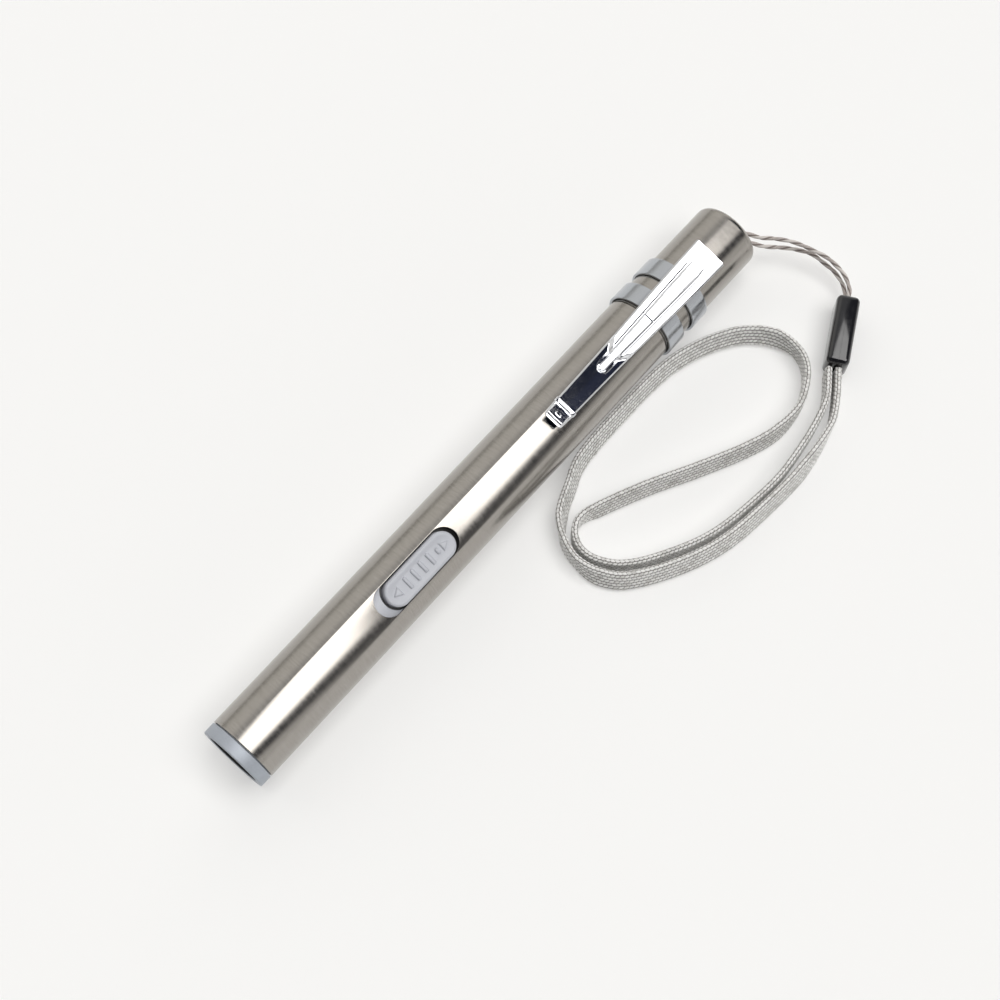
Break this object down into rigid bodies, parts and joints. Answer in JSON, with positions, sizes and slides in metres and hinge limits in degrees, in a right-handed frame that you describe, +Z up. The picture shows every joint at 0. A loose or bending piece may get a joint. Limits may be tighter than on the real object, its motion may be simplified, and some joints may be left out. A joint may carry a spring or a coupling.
{
  "type": "penlight",
  "caption": "Slim stainless-steel penlight with a lens at one end, thumb slide switch, pull-off tail cap over a charging plug, chrome pocket clip and flat wrist strap.",
  "frame": {"origin": "middle of the pen's length, on the surface it lies on, measured without the lanyard", "axes": "+X along the pen from the light to the tail, +Z up from the surface; the strap lies on the -Y side"},
  "size_m": [0.1504, 0.0504, 0.0174],
  "materials": {
    "brushed_tube": "lengthwise satin of fine rings",
    "satin_bands": "satin sheet",
    "clip_chrome": "mirror polish",
    "ring_coat": "satin blue-grey",
    "button_plastic": "fine moulded grain",
    "black_plastic": "moulded",
    "white_plastic": "moulded",
    "ferrule_black": "gloss",
    "lens_clear": "clear",
    "reflector_mirror": "vacuum metallised",
    "seal_rubber": "matt",
    "board_green": "solder resist",
    "led_phosphor": "phosphor dome",
    "cell_wrap": "shrink wrap",
    "nickel": "nickel plate",
    "contact_gold": "gold flash",
    "wire_red": "soft insulation",
    "wire_black": "soft insulation",
    "cord_fibre": "braided fine cord",
    "strap_weave": "flat tubular braid"
  },
  "bodies": {
    "pen_body": {"body_tube": "brushed_tube", "front_bezel": "ring_coat", "bezel_seal": "seal_rubber", "lens": "lens_clear", "reflector": "reflector_mirror", "led": "led_phosphor", "led_board": "board_green", "led_holder": "black_plastic", "inner_carrier": "black_plastic", "main_board": "board_green", "charge_chip": "black_plastic", "charge_led": "white_plastic", "slide_switch": "nickel", "detent_spring": "nickel", "battery_cell": "cell_wrap", "battery_tab_positive": "nickel", "battery_tab_negative": "nickel", "wire_positive": "wire_red", "wire_negative": "wire_black", "rear_collar": "white_plastic", "usb_shell": "satin_bands", "usb_tongue": "white_plastic", "usb_contact_1": "contact_gold", "usb_contact_2": "contact_gold", "usb_contact_3": "contact_gold", "usb_contact_4": "contact_gold"},
    "slider": {"slide_button": "button_plastic", "switch_knob": "black_plastic"},
    "cap": {"cap_shell": "brushed_tube", "cap_insert": "black_plastic", "cord_knot": "cord_fibre", "clip_frame": "satin_bands", "lanyard_cord_a": "cord_fibre", "lanyard_cord_b": "cord_fibre", "ferrule": "ferrule_black", "wrist_strap": "strap_weave"},
    "clip": {"clip_arm": "clip_chrome"}
  },
  "joints": [
    {"name": "switch_slide", "type": "slide", "parent": "pen_body", "child": "slider", "axis": [-1, 0, 0], "range_m": [0, 0.002]},
    {"name": "cap_pull", "type": "slide", "parent": "pen_body", "child": "cap", "axis": [1, 0, 0], "range_m": [0, 0.024]},
    {"name": "clip_flex", "type": "hinge", "parent": "cap", "child": "clip", "pos_m": [0.0596, -0.0022, 0.01568], "axis": [0, 0.9646, 0.2639], "range_deg": [0, 5], "stiffness_Nm_per_rad": 1}
  ]
}
